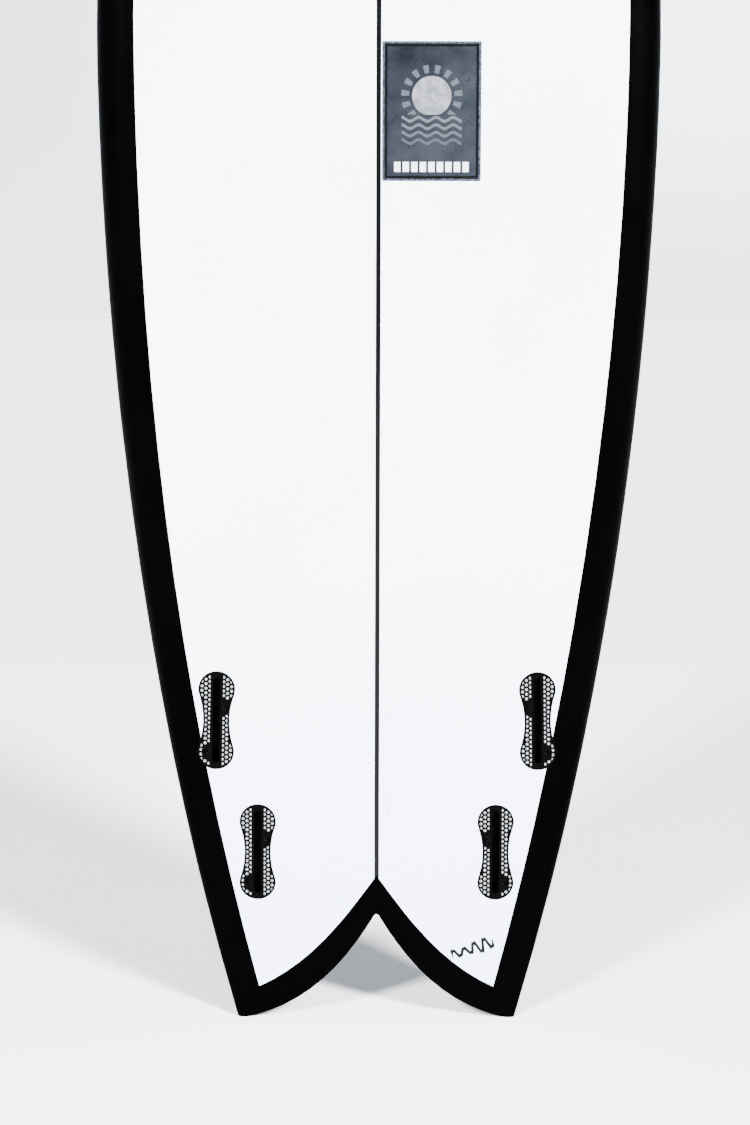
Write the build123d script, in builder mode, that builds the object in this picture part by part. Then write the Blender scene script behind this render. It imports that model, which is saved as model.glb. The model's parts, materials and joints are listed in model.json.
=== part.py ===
"""Swallow-tail quad surfboard, standing on its tail tips.

Millimetres. +Z runs from the tail tips to the nose, -Y is the bottom, +Y is the deck
and X = 0 is the stringer.
"""

import math
import os

from build123d import *

# ---- board -------------------------------------------------------------------------
LENGTH = 1778.0
HALF_WIDTH = 273.0
WIDE_POINT = 1000.0
BOTTOM_Y = -63.5
FLAT_SPOT = 836.0
TAIL_ROCKER = 44.0
NOSE_ROCKER = 118.0
SKIN = 1.0
STRINGER = 3.0
DECAL_DEPTH = 0.2

# Outline as two curves, each by its four control points (half width, height).
TAIL_OUTLINE = ((137.1, -20.0), (235.2, 332.3), (HALF_WIDTH, 698.9), (HALF_WIDTH, WIDE_POINT))
NOSE_OUTLINE = ((HALF_WIDTH, WIDE_POINT), (HALF_WIDTH, 1400.0), (80.0, 1779.0), (0.0, 1779.0))
TAIL_STATIONS = (0.0, 0.07, 0.15, 0.25, 0.37, 0.5, 0.65, 0.82)
NOSE_STATIONS = (0.0, 0.1, 0.2, 0.3, 0.4, 0.5, 0.59, 0.67, 0.74, 0.8, 0.85, 0.895, 0.935, 0.97)

# Shaper's figures along the length: height, then the figure at that height.
THICKNESS = ((-20.0, 17.0), (100.0, 33.0), (305.0, 48.5), (600.0, 61.0), (925.0, 66.7),
             (1300.0, 56.0), (1500.0, 42.0), (1700.0, 21.0), (LENGTH, 9.0))
APEX_SHARE = ((-20.0, 0.16), (150.0, 0.2), (450.0, 0.34), (900.0, 0.42), (LENGTH, 0.5))
TUCK = ((-20.0, 4.0), (120.0, 6.0), (400.0, 18.0), (800.0, 28.0), (1400.0, 28.0), (LENGTH, 6.0))

# ---- tail cut and laps -------------------------------------------------------------
CUT = ((0.0, 115.0), (33.5, 56.2), (72.3, 13.9), (131.0, 0.6))
CORE_CUT = ((0.0, 117.0), (34.3, 56.8), (72.8, 14.8), (131.2, 1.6))
CUT_TOP_RADIUS = 2.5
TIP_HEIGHT = 14.0
LAP_CUT = ((0.0, 154.2), (26.4, 117.7), (61.3, 61.8), (120.2, 34.0))
LAP_RIGHT = ((120.2, 34.0), (198.0, 351.0), (239.5, 690.0), (239.5, WIDE_POINT))
LAP_LEFT = ((120.2, 34.0), (203.4, 366.0), (233.6, 682.0), (234.3, WIDE_POINT))
LAP_TIP = 1744.0

# ---- fin plugs ---------------------------------------------------------------------
# Centre of each right-hand plug (distance from the stringer, height) and its toe-in.
PLUGS = {"front": (160.9, 316.4, 1.6), "rear": (120.6, 178.9, 0.6)}
PLUG_LOBE = 18.4
PLUG_LOBE_OFFSET = 32.35
PLUG_WAIST = 13.1
PLUG_DEPTH = 18.0
BED_DEPTH = 19.0
FLANGE = 3.0
RIM = 2.1
BAND = 12.8
SLOT_WIDTH = 7.0
SLOT_LENGTH = 88.0
SLOT_DEPTH = 15.6
HOLE = 2.75
HOLE_PITCH = 4.7
HOLE_COLUMNS = (6.8, 10.8, 14.8)
LEAST_HOLE_AREA = 2.0
# Bosses: height along the plug, and -1 toward the stringer or +1 away from it.
BOSSES = {"upper": (13.4, -1), "lower": (-32.8, 1)}
BOSS_OFFSET = 7.6
BOSS_RADIUS = 7.0
BOSS_ROOT = (5.0, 16.8)
BOSS_DEPTH = 15.0
SCREW_ENTRY = 9.5
SCREW_TILT = 30.0
SCREW_DIAMETER = 5.0
SCREW_LENGTH = 7.0
SCREW_SINK = 2.0
SCREW_TIP = 0.8
SCREW_CLEARANCE = 0.05
SCREW_HOLE_END = 16.45
SOCKET = 2.5
SOCKET_DEPTH = 3.0

# ---- leash cup ---------------------------------------------------------------------
CUP_X = -24.0
CUP_Z = 226.0
CUP_RADIUS = 16.0
CUP_FLANGE = 18.0
CUP_DEPTH = 19.0
BOWL_RADIUS = 13.0
BOWL_DEPTH = 15.0
BOWL_ROUND = 8.0
CUP_FLANGE_DEPTH = 2.0
CUP_DROP = 0.1
PIN_DIAMETER = 4.0
PIN_LENGTH = 30.0
PIN_DEPTH = 5.0
CUP_BED_RADIUS = 20.0
CUP_BED_DEPTH = 21.0

# ---- decal -------------------------------------------------------------------------
DECAL = (95.1, 132.0)
DECAL_CENTRE = (50.8, 914.0)


def bezier(points, t):
    """Point at t on the cubic with the four control points."""
    a, b, c, d = (1 - t) ** 3, 3 * t * (1 - t) ** 2, 3 * t * t * (1 - t), t**3
    return tuple(a * p + b * q + c * r + d * s for p, q, r, s in zip(*points))


def smooth(figures, height):
    """Figure at a height, by a smooth curve through the shaper's figures."""
    heights = [h for h, _ in figures]
    values = [v for _, v in figures]
    spans = [b - a for a, b in zip(heights, heights[1:])]
    rises = [(b - a) / s for a, b, s in zip(values, values[1:], spans)]
    slopes = [rises[0]]
    for left, right, a, b in zip(rises, rises[1:], spans, spans[1:]):
        slopes.append((left * b + right * a) / (a + b))
    slopes.append(rises[-1])
    i = 0
    while i < len(spans) - 1 and height > heights[i + 1]:
        i += 1
    u = (height - heights[i]) / spans[i]
    near = values[i] * (1 + 2 * u) + slopes[i] * spans[i] * u
    far = values[i + 1] * (3 - 2 * u) - slopes[i + 1] * spans[i] * (1 - u)
    return near * (1 - u) ** 2 + far * u * u


def bottom_at(height):
    """Y of the bottom on the stringer."""
    if height < FLAT_SPOT:
        return BOTTOM_Y + TAIL_ROCKER * ((FLAT_SPOT - height) / FLAT_SPOT) ** 2.1
    return BOTTOM_Y + NOSE_ROCKER * ((height - FLAT_SPOT) / (LENGTH - FLAT_SPOT)) ** 2.4


def deck_at(height):
    """Y of the deck on the stringer."""
    return bottom_at(height) + smooth(THICKNESS, height)


def section(half_width, height, inset):
    """Closed line round the board at a height, moved in by the inset."""
    bottom = bottom_at(height) + inset
    deck = deck_at(height) - inset
    flat = half_width - min(smooth(TUCK, height), 0.6 * half_width)
    rail = half_width - inset
    apex = bottom + smooth(APEX_SHARE, height) * (deck - bottom)
    crown = deck - apex
    drop = apex - bottom
    edge = rail - flat
    deck_curve = [(rail, apex), (rail, apex + 0.7 * crown), (0.55 * rail, deck), (0, deck)]
    tuck_curve = [(rail, apex), (rail, apex - 0.55 * drop), (flat + 0.55 * edge, bottom), (flat, bottom)]
    flat_line = [(flat * share, bottom) for share in (1, 2 / 3, 1 / 3, 0)]
    lines = []
    for side in (1, -1):
        for points in (deck_curve, tuck_curve, flat_line):
            lines.append(Edge.make_bezier(*[(side * x, y, height) for x, y in points]))
    return Wire(lines)


def board_form(inset):
    """The whole board before the tail is cut, moved in by the inset."""
    stations = [bezier(TAIL_OUTLINE, t) for t in TAIL_STATIONS]
    stations += [bezier(NOSE_OUTLINE, t) for t in NOSE_STATIONS]
    return Solid.make_loft([section(half_width, height, inset) for half_width, height in stations])


def tail_cut(curve, foot):
    """Outline of what is cut away below the swallow curve and below the feet of the tips."""
    end_x, end_z = curve[-1]
    with BuildSketch() as cut:
        with BuildLine():
            for side in (1, -1):
                Bezier(*[(side * x, z) for x, z in curve])
                Polyline((side * end_x, end_z), (side * (end_x + 2.5), foot), (side * 170.0, foot),
                         (side * 170.0, -40.0), (0.0, -40.0))
        make_face()
        fillet(cut.vertices().group_by(Axis.Y)[-1], radius=CUT_TOP_RADIUS)
    return cut.sketch


def lap_outline():
    """Outline of the clear bottom laminate, inside the laps of the deck laminate."""
    with BuildSketch() as lap:
        with BuildLine():
            for side, curve in ((1, LAP_RIGHT), (-1, LAP_LEFT)):
                widest = curve[-1][0]
                nose = ((widest, WIDE_POINT), (widest, 1375.0), (62.0, LAP_TIP), (0.0, LAP_TIP))
                for points in (LAP_CUT, curve, nose):
                    Bezier(*[(side * x, z) for x, z in points])
        make_face()
    return lap.sketch


def peanut(inset):
    """Outline of a fin plug, moved in by the inset."""
    lobe = PLUG_LOBE - inset
    waist = PLUG_WAIST - inset
    waist_radius = (PLUG_LOBE_OFFSET**2 + waist**2 - lobe**2) / (2 * (lobe - waist))
    share = lobe / (waist_radius + lobe)
    joint_x = share * (waist + waist_radius)
    joint_y = PLUG_LOBE_OFFSET * (1 - share)
    tip = PLUG_LOBE_OFFSET + lobe
    with BuildSketch() as outline:
        with BuildLine():
            ThreePointArc((joint_x, joint_y), (0, tip), (-joint_x, joint_y))
            ThreePointArc((-joint_x, joint_y), (-waist, 0), (-joint_x, -joint_y))
            ThreePointArc((-joint_x, -joint_y), (0, -tip), (joint_x, -joint_y))
            ThreePointArc((joint_x, -joint_y), (waist, 0), (joint_x, joint_y))
        make_face()
    return outline.sketch


def boss_outline():
    """Both screw bosses of a right-hand plug."""
    with BuildSketch() as bosses:
        for height, side in BOSSES.values():
            with Locations((side * BOSS_OFFSET, height)):
                Circle(BOSS_RADIUS)
            with Locations((side * BAND / 2, height)):
                Rectangle(*BOSS_ROOT)
        add(peanut(RIM), mode=Mode.INTERSECT)
    return bosses.sketch


def honeycomb():
    """Holes of the flange, cut short by the rim, the slot band and the bosses."""
    rows = int(PLUG_LOBE_OFFSET + PLUG_LOBE) // int(HOLE_PITCH)
    with BuildSketch() as holes:
        for column, offset in enumerate(HOLE_COLUMNS):
            stagger = 0.0 if column == 1 else HOLE_PITCH / 2
            for row in range(-rows, rows + 1):
                with Locations(*[(side * offset, row * HOLE_PITCH + stagger) for side in (1, -1)]):
                    Circle(HOLE / 2)
        add(peanut(RIM), mode=Mode.INTERSECT)
        Rectangle(BAND, 2 * (PLUG_LOBE_OFFSET + PLUG_LOBE), mode=Mode.SUBTRACT)
        add(boss_outline(), mode=Mode.SUBTRACT)
    return [face for face in holes.faces() if face.area > LEAST_HOLE_AREA]


def plug_plane(name):
    """Plane on the bottom at a right-hand plug, X away from the stringer, Y to the nose."""
    x, z, toe = PLUGS[name]
    slope = (bottom_at(z + 1) - bottom_at(z - 1)) / 2
    flat = Plane(origin=(x, bottom_at(z), z), x_dir=(1, 0, 0), z_dir=(0, -1, slope))
    turn = math.radians(toe)
    across = flat.x_dir * math.cos(turn) + flat.y_dir * math.sin(turn)
    return Plane(origin=flat.origin, x_dir=across, z_dir=flat.z_dir)


def screw_axis(plug, boss):
    """Plane at a screw's mouth, Z pointing back out along the screw."""
    height, side = BOSSES[boss]
    tilt = math.radians(SCREW_TILT)
    mouth = plug.from_local_coords(Vector(side * SCREW_ENTRY, height, 0))
    out = plug.from_local_coords(Vector(side * (SCREW_ENTRY + math.sin(tilt)), height, math.cos(tilt)))
    return Plane(origin=mouth, x_dir=plug.y_dir, z_dir=out - mouth)


# ---- forms that the pieces are cut from ----------------------------------------------
with BuildPart() as outer:
    add(board_form(0.0))
    with BuildSketch(Plane.XZ):
        add(tail_cut(CUT, 0.0))
    extrude(amount=200, both=True, mode=Mode.SUBTRACT)

with BuildPart() as inner:
    add(board_form(SKIN))
    with BuildSketch(Plane.XZ):
        add(tail_cut(CORE_CUT, SKIN))
    extrude(amount=200, both=True, mode=Mode.SUBTRACT)
    with Locations((0, 0, LENGTH + 20 - SKIN)):
        Box(100, 300, 40, mode=Mode.SUBTRACT)

with BuildPart() as shell:
    add(outer.part)
    add(inner.part, mode=Mode.SUBTRACT)

# ---- fin plugs, their resin beds and screws --------------------------------------------
os.makedirs("parts", exist_ok=True)
pockets = []
finished = {}
for plug_name in PLUGS:
    face = plug_plane(plug_name)
    with BuildPart() as pocket:
        with BuildSketch(face.offset(-BED_DEPTH)):
            add(peanut(0.0))
        extrude(amount=BED_DEPTH + 4)
    pockets += [pocket.part, mirror(pocket.part, about=Plane.YZ)]

    with BuildPart() as plug:
        with BuildSketch(face.offset(-FLANGE)):
            add(peanut(0.0))
        extrude(amount=FLANGE + 4)
        with BuildSketch(face.offset(-PLUG_DEPTH)):
            Rectangle(BAND, 2 * (PLUG_LOBE_OFFSET + PLUG_LOBE))
            add(peanut(RIM), mode=Mode.INTERSECT)
        extrude(amount=PLUG_DEPTH)
        with BuildSketch(face.offset(-BOSS_DEPTH)):
            add(boss_outline())
        extrude(amount=BOSS_DEPTH)
        with BuildSketch(face.offset(-FLANGE - 1)):
            add(honeycomb())
        extrude(amount=FLANGE + 6, mode=Mode.SUBTRACT)
        with BuildSketch(face.offset(-SLOT_DEPTH)):
            SlotOverall(SLOT_LENGTH, SLOT_WIDTH, rotation=90)
        extrude(amount=SLOT_DEPTH + 5, mode=Mode.SUBTRACT)
        for boss_name in BOSSES:
            with BuildSketch(screw_axis(face, boss_name).offset(-SCREW_HOLE_END)):
                Circle(SCREW_DIAMETER / 2 + SCREW_CLEARANCE)
            extrude(amount=SCREW_HOLE_END + 8, mode=Mode.SUBTRACT)
        add(outer.part, mode=Mode.INTERSECT)

    with BuildPart() as bed:
        add(pocket.part)
        with BuildSketch(face.offset(-PLUG_DEPTH)):
            Rectangle(BAND, 2 * (PLUG_LOBE_OFFSET + PLUG_LOBE))
            add(peanut(RIM), mode=Mode.INTERSECT)
        extrude(amount=PLUG_DEPTH + 6, mode=Mode.SUBTRACT)
        with BuildSketch(face.offset(-BOSS_DEPTH)):
            add(boss_outline())
        extrude(amount=BOSS_DEPTH + 6, mode=Mode.SUBTRACT)
        with BuildSketch(face.offset(-FLANGE)):
            add(peanut(-1.0))
        extrude(amount=FLANGE + 6, mode=Mode.SUBTRACT)
        with BuildSketch(face.offset(-FLANGE)):
            add(honeycomb())
        extrude(amount=FLANGE + 4)
        add(outer.part, mode=Mode.INTERSECT)

    finished[f"fin_plug_{plug_name}"] = plug.part
    finished[f"plug_bed_{plug_name}"] = bed.part
    for boss_name in BOSSES:
        with BuildPart() as screw:
            with BuildSketch(screw_axis(face, boss_name).offset(-SCREW_SINK)):
                Circle(SCREW_DIAMETER / 2)
            extrude(amount=-SCREW_LENGTH)
            chamfer(screw.faces().sort_by(Axis.Y)[-1].edges(), length=SCREW_TIP)
            with BuildSketch(screw_axis(face, boss_name).offset(-SCREW_SINK)):
                RegularPolygon(SOCKET / 2, 6, major_radius=False)
            extrude(amount=-SOCKET_DEPTH, mode=Mode.SUBTRACT)
        finished[f"grub_screw_{plug_name}_{boss_name}"] = screw.part

# ---- leash cup -------------------------------------------------------------------------
cup_slope = (deck_at(CUP_Z + 1) - deck_at(CUP_Z - 1)) / 2
cup_face = Plane(origin=(CUP_X, deck_at(CUP_Z) - CUP_DROP, CUP_Z), x_dir=(1, 0, 0), z_dir=(0, 1, -cup_slope))
with BuildPart() as cup_pocket:
    with BuildSketch(cup_face.offset(-CUP_BED_DEPTH)):
        Circle(CUP_BED_RADIUS)
    extrude(amount=CUP_BED_DEPTH + 3)
    add(outer.part, mode=Mode.INTERSECT)

with BuildPart() as leash_pin:
    with BuildSketch(Plane(origin=cup_face.offset(-PIN_DEPTH).origin, x_dir=(0, 1, 0), z_dir=(1, 0, 0))):
        Circle(PIN_DIAMETER / 2)
    extrude(amount=PIN_LENGTH / 2, both=True)
    fillet(leash_pin.edges().filter_by(GeomType.CIRCLE), radius=0.4)

with BuildPart() as leash_cup:
    with BuildSketch(cup_face.offset(-CUP_DEPTH)):
        Circle(CUP_RADIUS)
    extrude(amount=CUP_DEPTH + 3)
    with BuildSketch(cup_face.offset(-CUP_FLANGE_DEPTH)):
        Circle(CUP_FLANGE)
    extrude(amount=CUP_FLANGE_DEPTH + 3)
    add(outer.part, mode=Mode.INTERSECT)
with BuildPart() as bowl:
    with BuildSketch(cup_face.offset(-BOWL_DEPTH)):
        Circle(BOWL_RADIUS)
    extrude(amount=BOWL_DEPTH + 5)
    fillet(bowl.faces().sort_by(Axis.Y)[0].edges(), radius=BOWL_ROUND)
with BuildPart() as leash_bed:
    add(cup_pocket.part)
    add(leash_cup.part, mode=Mode.SUBTRACT)
with BuildPart() as hollow_cup:
    add(leash_cup.part)
    add(bowl.part, mode=Mode.SUBTRACT)
    add(leash_pin.part, mode=Mode.SUBTRACT)
pockets.append(cup_pocket.part)

# ---- decal -----------------------------------------------------------------------------
with BuildPart() as decal:
    with BuildSketch(Plane.XZ):
        with Locations(DECAL_CENTRE):
            RectangleRounded(*DECAL, radius=1.5)
    extrude(amount=200, both=True)
    add(outer.part, mode=Mode.INTERSECT)
    add(outer.part.moved(Location((0, DECAL_DEPTH, 0))), mode=Mode.SUBTRACT)

# ---- poured resin tips of the swallow tail -----------------------------------------------
with BuildPart() as tips:
    with Locations((0, 0, TIP_HEIGHT / 2)):
        Box(400, 200, TIP_HEIGHT)
    add(outer.part, mode=Mode.INTERSECT)
tip_left, tip_right = tips.solids().sort_by(Axis.X)
pockets.append(tips.part)

# ---- laminates -------------------------------------------------------------------------
with BuildPart() as lap_prism:
    with BuildSketch(Plane.XZ):
        add(lap_outline())
    extrude(amount=200, both=True)
    add(shell.part, mode=Mode.INTERSECT)
bottom_skin = lap_prism.solids().sort_by(Axis.Y)[0]

with BuildPart() as bottom_laminate:
    add(bottom_skin)
    add(pockets, mode=Mode.SUBTRACT)
    add(decal.part, mode=Mode.SUBTRACT)

with BuildPart() as deck_laminate:
    add(shell.part)
    add(bottom_skin, mode=Mode.SUBTRACT)
    add(pockets, mode=Mode.SUBTRACT)

# ---- foam core and stringer --------------------------------------------------------------
with BuildPart() as stringer:
    with Locations((0, 0, LENGTH / 2)):
        Box(STRINGER, 400, LENGTH + 100)
    add(inner.part, mode=Mode.INTERSECT)

with BuildPart() as foam:
    add(inner.part)
    with Locations((0, 0, LENGTH / 2)):
        Box(STRINGER, 400, LENGTH + 100, mode=Mode.SUBTRACT)
    add(pockets, mode=Mode.SUBTRACT)
foam_left, foam_right = foam.solids().sort_by(Axis.X)

# ---- labels and files ----------------------------------------------------------------------
pieces = {
    "foam_core_left": foam_left,
    "foam_core_right": foam_right,
    "stringer": stringer.part,
    "deck_laminate": deck_laminate.part,
    "bottom_laminate": bottom_laminate.part,
    "paper_decal": decal.part,
    "tail_tip_left": tip_left,
    "tail_tip_right": tip_right,
    "leash_cup": hollow_cup.part,
    "leash_cup_bed": leash_bed.part,
    "leash_pin": leash_pin.part,
}
for plug_name, piece in finished.items():
    pieces[f"{plug_name}_right"] = piece
    pieces[f"{plug_name}_left"] = mirror(piece, about=Plane.YZ)
for label, piece in pieces.items():
    piece.label = label
    export_step(piece, f"parts/{label}.step")
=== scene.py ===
"""Looks for the swallow-tail surfboard: materials, floor, lights and camera round the CAD frame."""

import json
import math

import bpy
from mathutils import Matrix, Vector


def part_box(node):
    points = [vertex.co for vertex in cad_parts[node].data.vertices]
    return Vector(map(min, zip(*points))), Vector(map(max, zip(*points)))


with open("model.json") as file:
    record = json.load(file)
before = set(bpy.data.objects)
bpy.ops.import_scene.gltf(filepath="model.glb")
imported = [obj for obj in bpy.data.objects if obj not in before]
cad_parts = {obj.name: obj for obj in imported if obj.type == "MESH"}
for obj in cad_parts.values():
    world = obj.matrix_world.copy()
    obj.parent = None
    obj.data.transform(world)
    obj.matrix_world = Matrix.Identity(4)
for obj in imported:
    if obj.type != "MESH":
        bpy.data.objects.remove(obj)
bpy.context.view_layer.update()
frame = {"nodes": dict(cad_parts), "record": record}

# Sizes and places are in metres of the shared frame, and angles are in degrees.
IOR = 1.5
CLOTH_PITCH = 0.0011
RESIN_DEPTH = 0.0006

# Half width of the dark strip made by the stringer and its glue lines, how soft its edge is, how
# wide the haze beside it is, and how far it wanders.
GLUE_LINE = 0.0024
GLUE_EDGE = 0.00015
GLUE_HAZE = 0.002
GLUE_WANDER = 0.0003
# Painted shade: the white is painted a little greyer toward the tail, standing in for softer light
# there.
TAIL_SHADE_START = 0.6
TAIL_SHADE_END = 0.05
TAIL_SHADE = (0.60, 0.68, 0.82)

# Pen stroke on the bottom: middle, slope, half length, half width, wave height, swelling, edge.
PEN_CENTRE = (0.0985, 0.0755)
PEN_SLOPE = 20.0
PEN_HALF = 0.0225
PEN_NIB = 0.0017
PEN_SWING = 0.0042
PEN_SWELL = 0.0014
PEN_EDGE = 0.0003
# Radians of the wave, and of its swelling, per metre of stroke.
PEN_WAVE_RATE = 560.0
PEN_SWELL_RATE = 150.0
# Pencil dot under each fin plug, mirrored to the left, and one faint loop beside the stringer.
PENCIL_DOTS = ((0.1615, 0.2534), (0.1223, 0.1168))
DOT_RADIUS = 0.0006
LOOP_CENTRE = (0.0115, 0.275)
LOOP_HALF = (0.0055, 0.052)
# Width over which a dot, and the ends of the pen stroke, fade out.
MARK_EDGE = 0.0005

# Printed motif of the decal.
SUN_RADIUS = 0.0185
SUN_LIFT = 0.0145
RAY_COUNT = 15.0
RAY_START = 0.003
RAY_END = 0.0105
HORIZON = -0.0035
SWELL_RATE = 380.0
SWELL_HEIGHT = 0.0018
SWELL_LINE = 0.0011
SWELL_HALF = 0.0285
# Height of each wave line and how strongly it is printed.
SWELL_LINES = ((-0.0075, 0.95), (-0.0145, 0.8), (-0.0215, 0.62), (-0.0285, 0.42))
BLOCK_PITCH = 0.0082
BLOCK_LEVEL = -0.0525
BLOCK_HALF = 0.0045
BLOCK_ROW_HALF = 0.0368
# Distances in from the paper's edge, and how far its tear wanders.
MARGIN = 0.0020
BORDER_START = 0.0022
BORDER_END = 0.0048
TEAR = 0.0012
# Widths over which printed ink, the horizon, the block row's ends and the frame fade out.
INK_EDGE = 0.0006
HORIZON_EDGE = 0.0008
ROW_EDGE = 0.0002
FRAME_EDGE = 0.0004

CAMERA_AT = (-0.0024, -2.1, 0.7282)
CAMERA_TILT = 7.0
CAMERA_ROLL = 0.155
LENS = 66.73
SENSOR = 36.0
# Brightness of the sky overhead, and what is added near the horizon at the front and behind.
SKY_TOP = 0.6
SKY_SIDE = 1.0
SKY_BACK = 3.2
SKY_COLOUR = (0.84, 0.92, 1.0, 1.0)
# Name, bearing from the front, height, spread, strength.
SUNS = (("left", -28.0, 32.0, 10.0, 13.0), ("right", 34.0, 32.0, 10.0, 20.0))
SUN_DISTANCE = 5.0
FLOOR_SIZE = 240.0
# Distances between which the floor's colour moves toward the colour of the sky's foot: painted
# shade that darkens the floor with distance, standing in for lamplight falling off.
FLOOR_FADE = (3.0, 14.0)
FLOOR_BACK = (0.62, 0.625, 0.64)


# ---- node helpers ------------------------------------------------------------------------
class Graph:
    """Node helpers shared by the materials and the sky."""

    def __init__(self, tree):
        self.nodes = tree.nodes
        self.links = tree.links

    def link(self, output, target):
        self.links.new(output, target)

    def split(self, vector):
        """The three parts of a vector."""
        node = self.nodes.new("ShaderNodeSeparateXYZ")
        self.link(vector, node.inputs[0])
        return node.outputs[0], node.outputs[1], node.outputs[2]

    def maths(self, operation, *values):
        """One maths node fed with sockets or plain numbers."""
        node = self.nodes.new("ShaderNodeMath")
        node.operation = operation
        for slot, value in zip(node.inputs, values):
            if isinstance(value, (int, float)):
                slot.default_value = value
            else:
                self.link(value, slot)
        return node.outputs[0]

    def plus(self, first, second):
        return self.maths("ADD", first, second)

    def minus(self, first, second):
        return self.maths("SUBTRACT", first, second)

    def times(self, first, second):
        return self.maths("MULTIPLY", first, second)

    def size(self, value):
        """The value without its sign."""
        return self.maths("ABSOLUTE", value)

    def reach(self, first, second):
        """Distance from the origin of a point with these two coordinates."""
        return self.maths("SQRT", self.plus(self.times(first, first), self.times(second, second)))

    def span(self, value, low, high, out_low=0.0, out_high=1.0):
        """Value carried smoothly from one range to another and kept inside it."""
        node = self.nodes.new("ShaderNodeMapRange")
        node.interpolation_type = "SMOOTHSTEP"
        for slot, number in zip(node.inputs[1:5], (low, high, out_low, out_high)):
            slot.default_value = number
        self.link(value, node.inputs[0])
        return node.outputs[0]

    def within(self, value, limit, edge):
        """1 up to the limit, falling to 0 over the edge."""
        return self.span(value, limit, limit + edge, 1.0, 0.0)

    def beyond(self, value, limit, edge):
        """0 up to the limit, rising to 1 over the edge."""
        return self.span(value, limit, limit + edge)


class Finish(Graph):
    """A procedural material on one Principled shader."""

    def __init__(self, name, base, roughness, coat=0.0, coat_roughness=0.05):
        self.material = bpy.data.materials.new(name)
        self.material.use_nodes = True
        super().__init__(self.material.node_tree)
        self.shader = self.nodes["Principled BSDF"]
        self.set("Base Color", (*base, 1.0))
        self.set("Roughness", roughness)
        self.set("Coat Weight", coat)
        self.set("Coat Roughness", coat_roughness)
        self.set("IOR", IOR)
        self.place = self.nodes.new("ShaderNodeTexCoord").outputs["Object"]

    def set(self, socket, value):
        self.shader.inputs[socket].default_value = value

    def feed(self, output, socket):
        self.link(output, self.shader.inputs[socket])

    def axes(self):
        """X, Y and Z of the point, in metres of the shared frame."""
        return self.split(self.place)

    def noise(self, scale, detail, stretch=(1.0, 1.0, 1.0)):
        """Value of a noise that has `scale` features per metre."""
        mapping = self.nodes.new("ShaderNodeMapping")
        mapping.inputs["Scale"].default_value = stretch
        self.link(self.place, mapping.inputs["Vector"])
        node = self.nodes.new("ShaderNodeTexNoise")
        node.inputs["Scale"].default_value = scale
        node.inputs["Detail"].default_value = detail
        self.link(mapping.outputs[0], node.inputs["Vector"])
        return node.outputs["Fac"]

    def mix(self, factor, first, second):
        """Colour between two colours, each a socket or an RGB triple."""
        node = self.nodes.new("ShaderNodeMix")
        node.data_type = "RGBA"
        for slot, value in ((0, factor), (6, first), (7, second)):
            if isinstance(value, tuple):
                node.inputs[slot].default_value = (*value, 1.0)
            else:
                self.link(value, node.inputs[slot])
        return node.outputs[2]

    def bump(self, height, strength, distance):
        node = self.nodes.new("ShaderNodeBump")
        node.inputs["Strength"].default_value = strength
        node.inputs["Distance"].default_value = distance
        self.link(height, node.inputs["Height"])
        self.feed(node.outputs[0], "Normal")

    def weave(self):
        """Plain weave of the glass cloth, 0 to 1."""
        x, _, z = self.axes()
        turns = math.pi / CLOTH_PITCH
        across = self.maths("SINE", self.times(x, turns))
        along = self.maths("SINE", self.times(z, turns))
        return self.plus(0.5, self.times(0.5, self.times(across, along)))


# ---- marks on the bottom -------------------------------------------------------------------
def pen_flourish(f, x, z):
    """Plain wavy pen stroke near the right tail tip, under the gloss."""
    right = f.minus(x, PEN_CENTRE[0])
    up = f.minus(z, PEN_CENTRE[1])
    cosine = math.cos(math.radians(PEN_SLOPE))
    sine = math.sin(math.radians(PEN_SLOPE))
    along = f.plus(f.times(right, cosine), f.times(up, sine))
    over = f.minus(f.times(up, cosine), f.times(right, sine))
    swell = f.times(f.maths("SINE", f.times(along, PEN_SWELL_RATE)), PEN_SWELL)
    swing = f.plus(PEN_SWING, swell)
    turn = f.times(along, PEN_WAVE_RATE)
    wave = f.times(f.maths("SINE", turn), swing)
    # Dividing by the length of the slope keeps the stroke as wide on its steep parts.
    slope = f.times(f.times(f.maths("COSINE", turn), swing), PEN_WAVE_RATE)
    away = f.maths("DIVIDE", f.size(f.minus(over, wave)), f.reach(slope, 1.0))
    stroke = f.within(away, PEN_NIB, PEN_EDGE)
    return f.times(stroke, f.within(f.size(along), PEN_HALF, MARK_EDGE))


def pencil_marks(f, x, z):
    """Dot under each fin plug and one faint loop beside the stringer."""
    side = f.size(x)
    marks = None
    for across, height in PENCIL_DOTS:
        away = f.reach(f.minus(side, across), f.minus(z, height))
        dot = f.within(away, DOT_RADIUS, MARK_EDGE)
        marks = dot if marks is None else f.maths("MAXIMUM", marks, dot)
    across = f.maths("DIVIDE", f.minus(x, LOOP_CENTRE[0]), LOOP_HALF[0])
    up = f.maths("DIVIDE", f.minus(z, LOOP_CENTRE[1]), LOOP_HALF[1])
    loop = f.span(f.size(f.minus(f.reach(across, up), 1.0)), 0.04, 0.12, 0.2, 0.0)
    return f.maths("MAXIMUM", marks, loop)


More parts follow.
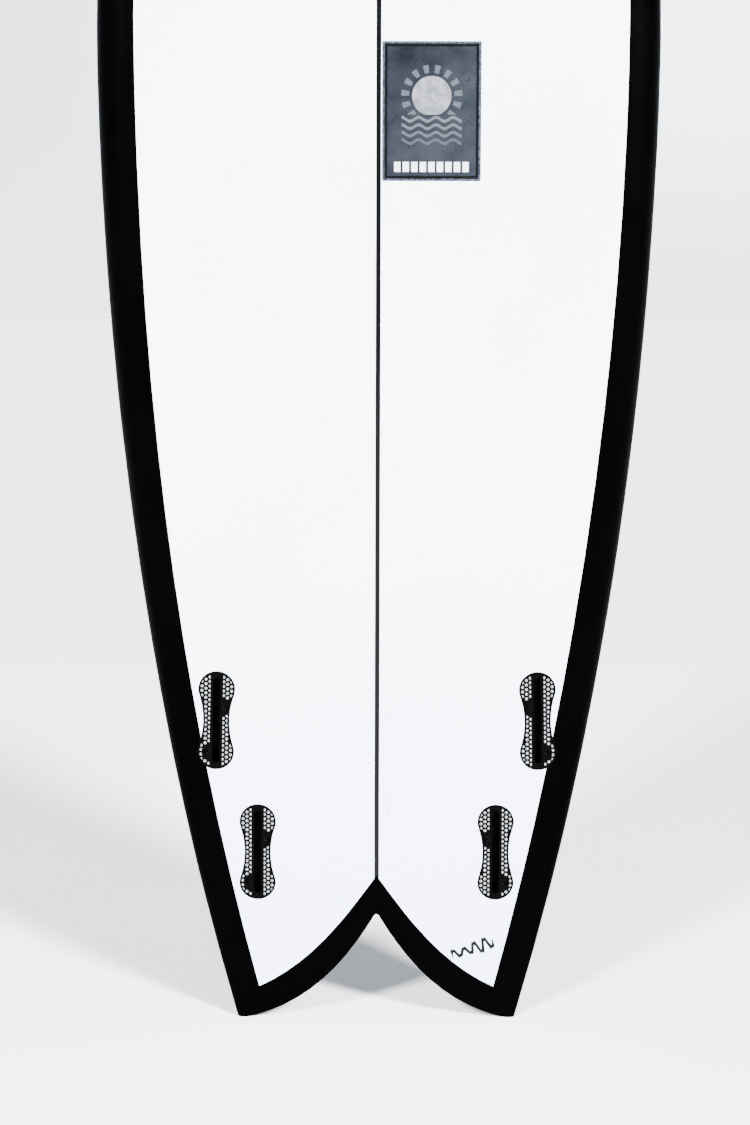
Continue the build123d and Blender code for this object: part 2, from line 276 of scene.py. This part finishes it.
# ---- materials -----------------------------------------------------------------------------
def clear_laminate():
    """White foam seen through clear resin, with the stringer showing as a dark line."""
    f = Finish("clear_laminate", (0.86, 0.885, 0.92), 0.3, coat=0.15, coat_roughness=0.06)
    f.set("Specular IOR Level", 0.03)
    x, _, z = f.axes()
    cloud = f.span(f.noise(5.0, 4.0), 0.35, 0.65)
    white = f.mix(cloud, (0.76, 0.82, 0.93), (0.80, 0.855, 0.955))
    # Painted shade toward the tail, standing in for softer light there.
    tail = f.span(z, TAIL_SHADE_END, TAIL_SHADE_START, 1.0, 0.0)
    white = f.mix(tail, white, TAIL_SHADE)
    grain = f.span(f.noise(420.0, 2.0), 0.45, 0.75)
    white = f.mix(f.times(grain, 0.08), white, (0.72, 0.75, 0.80))
    wander = f.times(f.minus(f.noise(9.0, 2.0, (0.0, 0.0, 1.0)), 0.5), GLUE_WANDER)
    off = f.size(f.plus(x, wander))
    haze = f.span(off, GLUE_LINE, GLUE_LINE + GLUE_HAZE, 0.2, 0.0)
    white = f.mix(haze, white, (0.55, 0.58, 0.62))
    line = f.span(off, GLUE_LINE - GLUE_EDGE, GLUE_LINE + GLUE_EDGE, 1.0, 0.0)
    dark = f.maths("MAXIMUM", line, pen_flourish(f, x, z))
    white = f.mix(dark, white, (0.0003, 0.0003, 0.0004))
    f.feed(f.mix(pencil_marks(f, x, z), white, (0.12, 0.12, 0.13)), "Base Color")
    f.feed(f.span(f.noise(3.0, 3.0), 0.3, 0.7, 0.26, 0.36), "Roughness")
    f.bump(f.plus(f.times(f.weave(), 0.25), f.noise(60.0, 3.0)), 0.06, RESIN_DEPTH)
    return f.material


def black_laminate():
    """Black tinted resin over cloth, with little gloss so that the lamps do not grey the rails."""
    f = Finish("black_laminate", (0.0001, 0.0001, 0.0001), 0.4)
    f.set("Specular IOR Level", 0.006)
    patch = f.span(f.noise(7.0, 4.0), 0.3, 0.7)
    black = f.mix(patch, (0.00005, 0.00005, 0.00008), (0.00015, 0.00015, 0.0002))
    # Faces toward the deck are painted lighter: a painted sheen standing in for the gloss that the
    # low specular leaves out, so that the deck is not a flat shape from behind.
    painted_deck_sheen = f.mix(patch, (0.009, 0.009, 0.0097), (0.0132, 0.0132, 0.0145))
    normal = f.nodes.new("ShaderNodeNewGeometry").outputs["Normal"]
    deck = f.span(f.split(normal)[1], 0.0, 0.5)
    f.feed(f.mix(deck, black, painted_deck_sheen), "Base Color")
    f.feed(f.span(f.noise(14.0, 4.0), 0.3, 0.7, 0.36, 0.48), "Roughness")
    f.bump(f.plus(f.times(f.weave(), 0.3), f.noise(45.0, 3.0)), 0.05, RESIN_DEPTH)
    return f.material


def plug_plastic():
    """Black moulded nylon with a fine spark texture."""
    f = Finish("plug_plastic", (0.0003, 0.0003, 0.0003), 0.45)
    f.set("Specular IOR Level", 0.015)
    fleck = f.span(f.noise(900.0, 2.0), 0.4, 0.7)
    f.feed(f.mix(fleck, (0.0002, 0.0002, 0.0002), (0.0006, 0.0006, 0.0007)), "Base Color")
    f.feed(f.span(f.noise(500.0, 2.0), 0.3, 0.7, 0.36, 0.52), "Roughness")
    f.bump(f.noise(1400.0, 2.0), 0.1, 0.0002)
    return f.material


def bed_resin():
    """White filled resin round the plugs and in their holes, dark to suit the strong lamps."""
    f = Finish("bed_resin", (0.16, 0.16, 0.17), 0.5)
    fleck = f.span(f.noise(1300.0, 3.0), 0.42, 0.62)
    f.feed(f.mix(fleck, (0.18, 0.185, 0.195), (0.13, 0.135, 0.14)), "Base Color")
    f.feed(f.span(f.noise(700.0, 2.0), 0.3, 0.7, 0.3, 0.5), "Roughness")
    f.bump(f.noise(900.0, 2.0), 0.12, 0.0002)
    return f.material


def foam():
    """Shaped white foam with fine open pores."""
    f = Finish("foam", (0.88, 0.88, 0.87), 0.8)
    cell = f.span(f.noise(1100.0, 2.0), 0.4, 0.6)
    f.feed(f.mix(cell, (0.78, 0.78, 0.77), (0.9, 0.9, 0.89)), "Base Color")
    f.feed(f.span(f.noise(20.0, 3.0), 0.3, 0.7, 0.72, 0.9), "Roughness")
    f.bump(f.noise(1100.0, 2.0), 0.3, 0.0004)
    return f.material


def stringer():
    """Dark stained wood strip with grain along the board."""
    f = Finish("stringer", (0.012, 0.01, 0.009), 0.55)
    grain = f.span(f.noise(260.0, 5.0, (1.0, 1.0, 0.03)), 0.35, 0.65)
    f.feed(f.mix(grain, (0.008, 0.007, 0.006), (0.022, 0.018, 0.015)), "Base Color")
    f.feed(f.span(grain, 0.0, 1.0, 0.45, 0.65), "Roughness")
    f.bump(grain, 0.2, 0.0003)
    return f.material


def steel():
    """Turned stainless steel."""
    f = Finish("screw_steel", (0.42, 0.42, 0.43), 0.32)
    f.set("Metallic", 1.0)
    brush = f.span(f.noise(1500.0, 3.0, (1.0, 1.0, 0.1)), 0.3, 0.7)
    f.feed(f.mix(brush, (0.34, 0.34, 0.35), (0.5, 0.5, 0.51)), "Base Color")
    f.feed(f.span(brush, 0.0, 1.0, 0.24, 0.42), "Roughness")
    f.bump(brush, 0.08, 0.0001)
    return f.material


def black_oxide():
    """Blackened steel of the grub screws."""
    f = Finish("black_oxide", (0.001, 0.001, 0.001), 0.45)
    f.set("Specular IOR Level", 0.06)
    worn = f.span(f.noise(1200.0, 3.0), 0.4, 0.75)
    f.feed(f.mix(worn, (0.0008, 0.0008, 0.001), (0.004, 0.004, 0.0045)), "Base Color")
    f.feed(f.span(worn, 0.0, 1.0, 0.38, 0.55), "Roughness")
    f.bump(worn, 0.08, 0.0001)
    return f.material


# ---- decal ---------------------------------------------------------------------------------
def decal_panel(f, u, v):
    """Mottled dark panel, darker toward the upper left, with dark scuffs."""
    slant = f.span(f.minus(v, f.times(u, 1.5)), -0.03, 0.09)
    cloud = f.span(f.noise(45.0, 4.0), 0.3, 0.7)
    shade = f.times(f.plus(slant, cloud), 0.5)
    panel = f.mix(shade, (0.0122, 0.0145, 0.0192), (0.0018, 0.0028, 0.0052))
    scuff = f.span(f.noise(330.0, 6.0, (1.0, 1.0, 2.2)), 0.58, 0.64)
    patch = f.span(f.noise(60.0, 2.0), 0.45, 0.6)
    return f.mix(f.times(f.times(scuff, patch), 0.8), panel, (0.0012, 0.0016, 0.0028))


def decal_sun(f, art, u, v):
    """Sun with rays, cut off at the horizon."""
    lifted = f.minus(v, SUN_LIFT)
    away = f.reach(u, lifted)
    disc = f.within(away, SUN_RADIUS, INK_EDGE)
    spokes = f.span(f.maths("SINE", f.times(f.maths("ARCTAN2", lifted, u), RAY_COUNT)), 0.05, 0.2)
    first = f.beyond(away, SUN_RADIUS + RAY_START, INK_EDGE)
    last = f.within(away, SUN_RADIUS + RAY_END, INK_EDGE)
    above = f.beyond(v, HORIZON, HORIZON_EDGE)
    rays = f.times(f.times(spokes, first), f.times(last, above))
    face = f.mix(f.span(f.noise(110.0, 5.0), 0.35, 0.65), (0.075, 0.08, 0.09), (0.135, 0.14, 0.155))
    art = f.mix(f.times(disc, above), art, face)
    return f.mix(f.times(rays, 0.75), art, (0.045, 0.05, 0.06))


def decal_waves(f, art, u, v):
    """Wave lines under the sun, fainter toward the foot."""
    swell = f.times(f.maths("SINE", f.times(u, SWELL_RATE)), SWELL_HEIGHT)
    across = f.within(f.size(u), SWELL_HALF, INK_EDGE)
    for height, strength in SWELL_LINES:
        offset = f.size(f.minus(f.minus(v, swell), height))
        line = f.times(f.within(offset, SWELL_LINE, INK_EDGE), across)
        art = f.mix(f.times(line, strength), art, (0.05, 0.056, 0.066))
    return art


def decal_blocks(f, art, u, v):
    """Row of plain white blocks along the foot."""
    beat = f.maths("COSINE", f.times(u, 2 * math.pi / BLOCK_PITCH))
    blocks = f.times(f.span(beat, -0.75, -0.55), f.within(f.size(u), BLOCK_ROW_HALF, ROW_EDGE))
    level = f.size(f.minus(v, BLOCK_LEVEL))
    row = f.times(blocks, f.within(level, BLOCK_HALF, FRAME_EDGE))
    return f.mix(row, art, (0.5, 0.52, 0.55))


def decal_frame(f, art, inside):
    """Black border and pale torn margin, by the distance in from the paper's edge."""
    start = f.beyond(inside, BORDER_START, FRAME_EDGE)
    border = f.times(start, f.within(inside, BORDER_END, FRAME_EDGE))
    art = f.mix(border, art, (0.0001, 0.0002, 0.0004))
    fibre = f.span(f.noise(420.0, 4.0), 0.4, 0.6)
    pale = f.mix(fibre, (0.011, 0.015, 0.024), (0.035, 0.042, 0.056))
    return f.mix(f.within(inside, MARGIN, FRAME_EDGE), art, pale)


def decal():
    """Printed paper: a rising sun over waves on a mottled panel, with a row of plain blocks."""
    f = Finish("decal", (0.05, 0.06, 0.09), 0.3, coat=0.2, coat_roughness=0.06)
    f.set("Specular IOR Level", 0.06)
    low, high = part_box("paper_decal")
    x, _, z = f.axes()
    u = f.minus(x, (low[0] + high[0]) / 2)
    v = f.minus(z, (low[2] + high[2]) / 2)
    tear = f.times(f.minus(f.noise(260.0, 4.0), 0.5), TEAR)
    inside_u = f.minus((high[0] - low[0]) / 2, f.size(f.plus(u, tear)))
    inside_v = f.minus((high[2] - low[2]) / 2, f.size(f.plus(v, tear)))
    inside = f.maths("MINIMUM", inside_u, inside_v)
    art = decal_panel(f, u, v)
    art = decal_sun(f, art, u, v)
    art = decal_waves(f, art, u, v)
    art = decal_blocks(f, art, u, v)
    f.feed(decal_frame(f, art, inside), "Base Color")
    f.feed(f.span(f.noise(40.0, 3.0), 0.3, 0.7, 0.26, 0.36), "Roughness")
    f.bump(f.noise(60.0, 3.0), 0.06, RESIN_DEPTH)
    return f.material


# ---- studio --------------------------------------------------------------------------------
def studio_floor():
    """Pale floor whose colour fades toward the foot of the sky; side and back views show a line."""
    bpy.ops.mesh.primitive_plane_add(size=FLOOR_SIZE, location=(0.0, 0.0, 0.0))
    floor = bpy.context.object
    floor.name = "floor"
    f = Finish("studio_floor", (0.84, 0.84, 0.85), 0.9)
    f.set("Specular IOR Level", 0.0)
    stain = f.span(f.noise(2.0, 5.0), 0.35, 0.7)
    near = f.mix(stain, (0.85, 0.845, 0.855), (0.83, 0.825, 0.84))
    east, north, _ = f.axes()
    # Painted shade: the floor is painted darker with distance, down to the sky's foot, standing in
    # for lamplight falling off.
    reach = f.reach(east, north)
    behind = f.span(f.maths("DIVIDE", north, f.maths("MAXIMUM", reach, 0.01)), 0.3, 0.85)
    far = f.mix(behind, (0.29, 0.30, 0.315), FLOOR_BACK)
    start = f.mix(f.span(north, 0.0, FLOOR_FADE[0]), near, FLOOR_BACK)
    f.feed(f.mix(f.span(reach, *FLOOR_FADE), start, far), "Base Color")
    f.bump(f.noise(40.0, 4.0), 0.05, 0.002)
    floor.data.materials.append(f.material)


def studio_sky():
    """Sky that is brighter low down, most of all behind the board and to its right."""
    world = bpy.data.worlds.new("studio")
    world.use_nodes = True
    sky = Graph(world.node_tree)
    direction = sky.nodes.new("ShaderNodeTexCoord").outputs["Generated"]
    east, north, up = sky.split(direction)
    behind = sky.span(north, 0.3, 0.85, SKY_SIDE, SKY_BACK)
    low_down = sky.span(up, 0.2, 0.5, 1.0, 0.0)
    rise = sky.span(up, 0.0, 0.12)
    sideways = sky.times(rise, sky.span(east, -0.3, 0.3, -0.25, 0.75))
    facing = sky.span(north, 0.3, 0.85)
    lean = sky.plus(sky.times(sideways, facing), 1.0)
    glow = sky.times(sky.times(behind, low_down), lean)
    background = sky.nodes["Background"]
    background.inputs["Color"].default_value = SKY_COLOUR
    sky.link(sky.plus(glow, SKY_TOP), background.inputs["Strength"])
    bpy.context.scene.world = world


def studio_suns():
    """Two broad lamps at the front, one on each side."""
    for name, bearing, height, spread, strength in SUNS:
        lamp = bpy.data.lights.new(name, "SUN")
        lamp.angle = math.radians(spread)
        lamp.energy = strength
        light = bpy.data.objects.new(name, lamp)
        across = math.radians(bearing)
        up = math.radians(height)
        level = math.cos(up)
        toward = Vector((math.sin(across) * level, -math.cos(across) * level, math.sin(up)))
        light.location = toward * SUN_DISTANCE
        light.rotation_euler = toward.to_track_quat("Z", "Y").to_euler()
        bpy.context.collection.objects.link(light)


def studio_camera():
    """Camera in front of the bottom, looking slightly down."""
    data = bpy.data.cameras.new("camera")
    data.sensor_fit = "AUTO"
    data.sensor_width = SENSOR
    data.lens = LENS
    camera = bpy.data.objects.new("camera", data)
    camera.location = CAMERA_AT
    camera.rotation_mode = "XYZ"
    tilt = Matrix.Rotation(math.radians(90.0 - CAMERA_TILT), 4, "X")
    roll = Matrix.Rotation(math.radians(CAMERA_ROLL), 4, "Z")
    camera.rotation_euler = (tilt @ roll).to_euler()
    bpy.context.collection.objects.link(camera)
    bpy.context.scene.camera = camera


# ---- dress the CAD nodes -------------------------------------------------------------------
def dress_nodes():
    """Give every CAD node the finish of its material slot; the grub screws are blackened."""
    black = black_laminate()
    oxide = black_oxide()
    finishes = {
        "foam": foam(),
        "stringer": stringer(),
        "black_laminate": black,
        "tip_resin": black,
        "clear_laminate": clear_laminate(),
        "decal": decal(),
        "plug_plastic": plug_plastic(),
        "bed_resin": bed_resin(),
        "screw_steel": steel(),
    }
    for part in frame["record"]["subparts"]:
        mesh = frame["nodes"][part["node"]].data
        mesh.materials.clear()
        screw = part["node"].startswith("grub_screw")
        mesh.materials.append(oxide if screw else finishes[part["material_slot"]])


dress_nodes()
studio_floor()
studio_sky()
studio_suns()
studio_camera()
